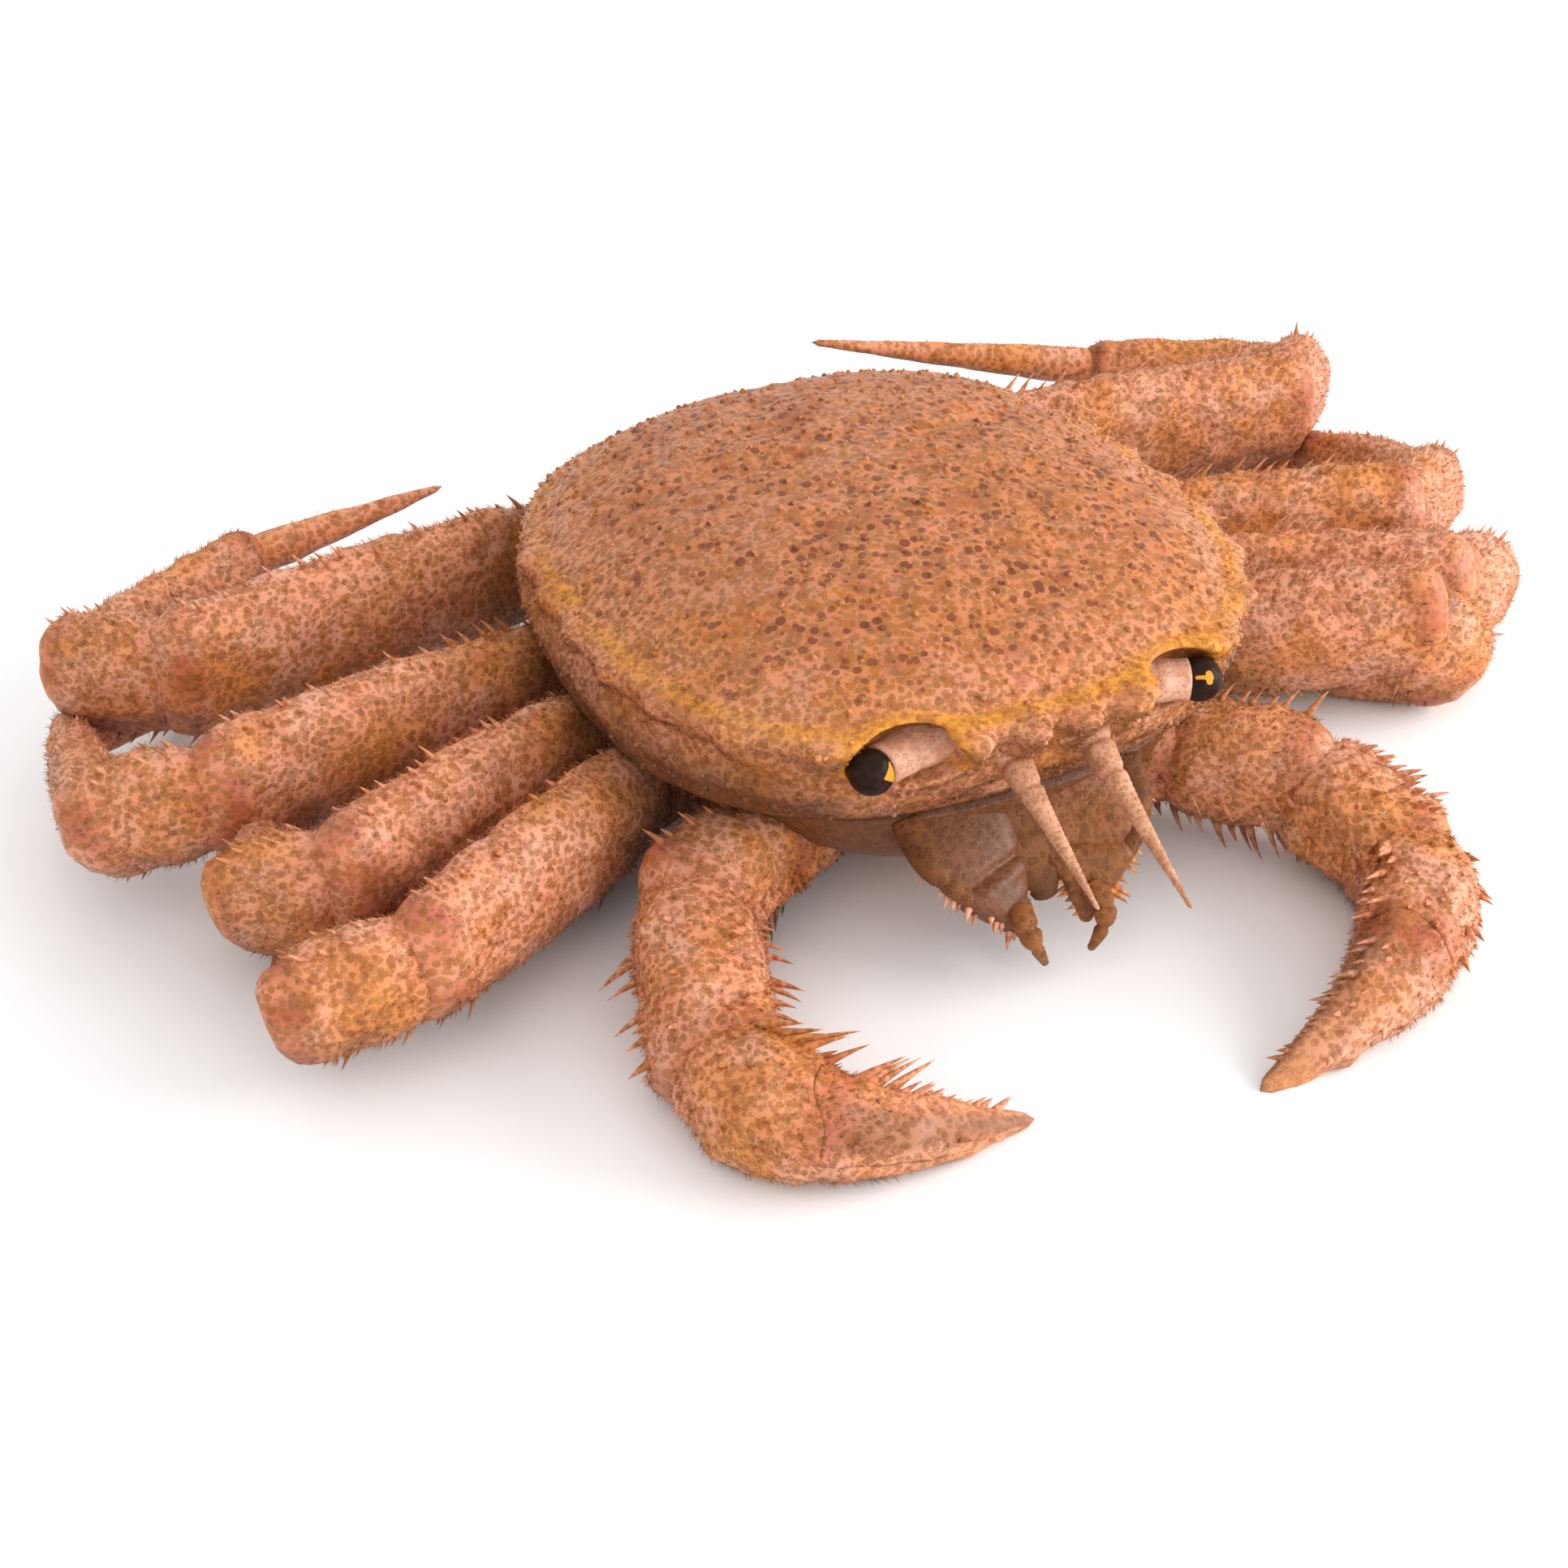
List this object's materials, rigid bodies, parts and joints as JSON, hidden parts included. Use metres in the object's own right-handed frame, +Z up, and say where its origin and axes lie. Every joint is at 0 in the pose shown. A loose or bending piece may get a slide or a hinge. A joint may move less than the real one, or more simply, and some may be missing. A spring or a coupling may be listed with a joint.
{
  "type": "horsehair crab",
  "caption": "Life-size horsehair crab at rest on folded legs, with a domed bristly shell, forward eyes and both claws closed in a ring before the mouth.",
  "frame": {"origin": "on the floor below the middle of the whole model's bounding box", "axes": "+Z up, -Y the way the crab's mouth faces, +X to the crab's own left"},
  "size_m": [0.2224, 0.1554, 0.0463],
  "materials": {
    "shell": "satin shell, salmon with orange-brown spots, bristly",
    "underside": "satin shell, shaded brown",
    "feeler": "smooth satin",
    "eye": "glossy, wet"
  },
  "bodies": {
    "root": {"carapace": "shell", "sternum": "underside", "pleon": "underside", "eye_l": "eye", "eye_r": "eye", "antenna_l": "feeler", "antenna_r": "feeler", "maxilliped_l": "underside", "maxilliped_r": "underside", "cheliped_l_hip": "shell", "cheliped_l_merus": "shell", "cheliped_l_carpus": "shell", "cheliped_l_palm": "shell", "cheliped_l_finger": "shell", "leg_1_l_hip": "shell", "leg_1_l_merus": "shell", "leg_1_l_carpus": "shell", "leg_1_l_propodus": "shell", "leg_1_l_dactyl": "shell", "leg_2_l_hip": "shell", "leg_2_l_merus": "shell", "leg_2_l_carpus": "shell", "leg_2_l_propodus": "shell", "leg_2_l_dactyl": "shell", "leg_3_l_hip": "shell", "leg_3_l_merus": "shell", "leg_3_l_carpus": "shell", "leg_3_l_propodus": "shell", "leg_3_l_dactyl": "shell", "leg_4_l_hip": "shell", "leg_4_l_merus": "shell", "leg_4_l_carpus": "shell", "leg_4_l_propodus": "shell", "leg_4_l_dactyl": "shell", "cheliped_r_hip": "shell", "cheliped_r_merus": "shell", "cheliped_r_carpus": "shell", "cheliped_r_palm": "shell", "cheliped_r_finger": "shell", "leg_1_r_hip": "shell", "leg_1_r_merus": "shell", "leg_1_r_carpus": "shell", "leg_1_r_propodus": "shell", "leg_1_r_dactyl": "shell", "leg_2_r_hip": "shell", "leg_2_r_merus": "shell", "leg_2_r_carpus": "shell", "leg_2_r_propodus": "shell", "leg_2_r_dactyl": "shell", "leg_3_r_hip": "shell", "leg_3_r_merus": "shell", "leg_3_r_carpus": "shell", "leg_3_r_propodus": "shell", "leg_3_r_dactyl": "shell", "leg_4_r_hip": "shell", "leg_4_r_merus": "shell", "leg_4_r_carpus": "shell", "leg_4_r_propodus": "shell", "leg_4_r_dactyl": "shell"}
  },
  "joints": []
}
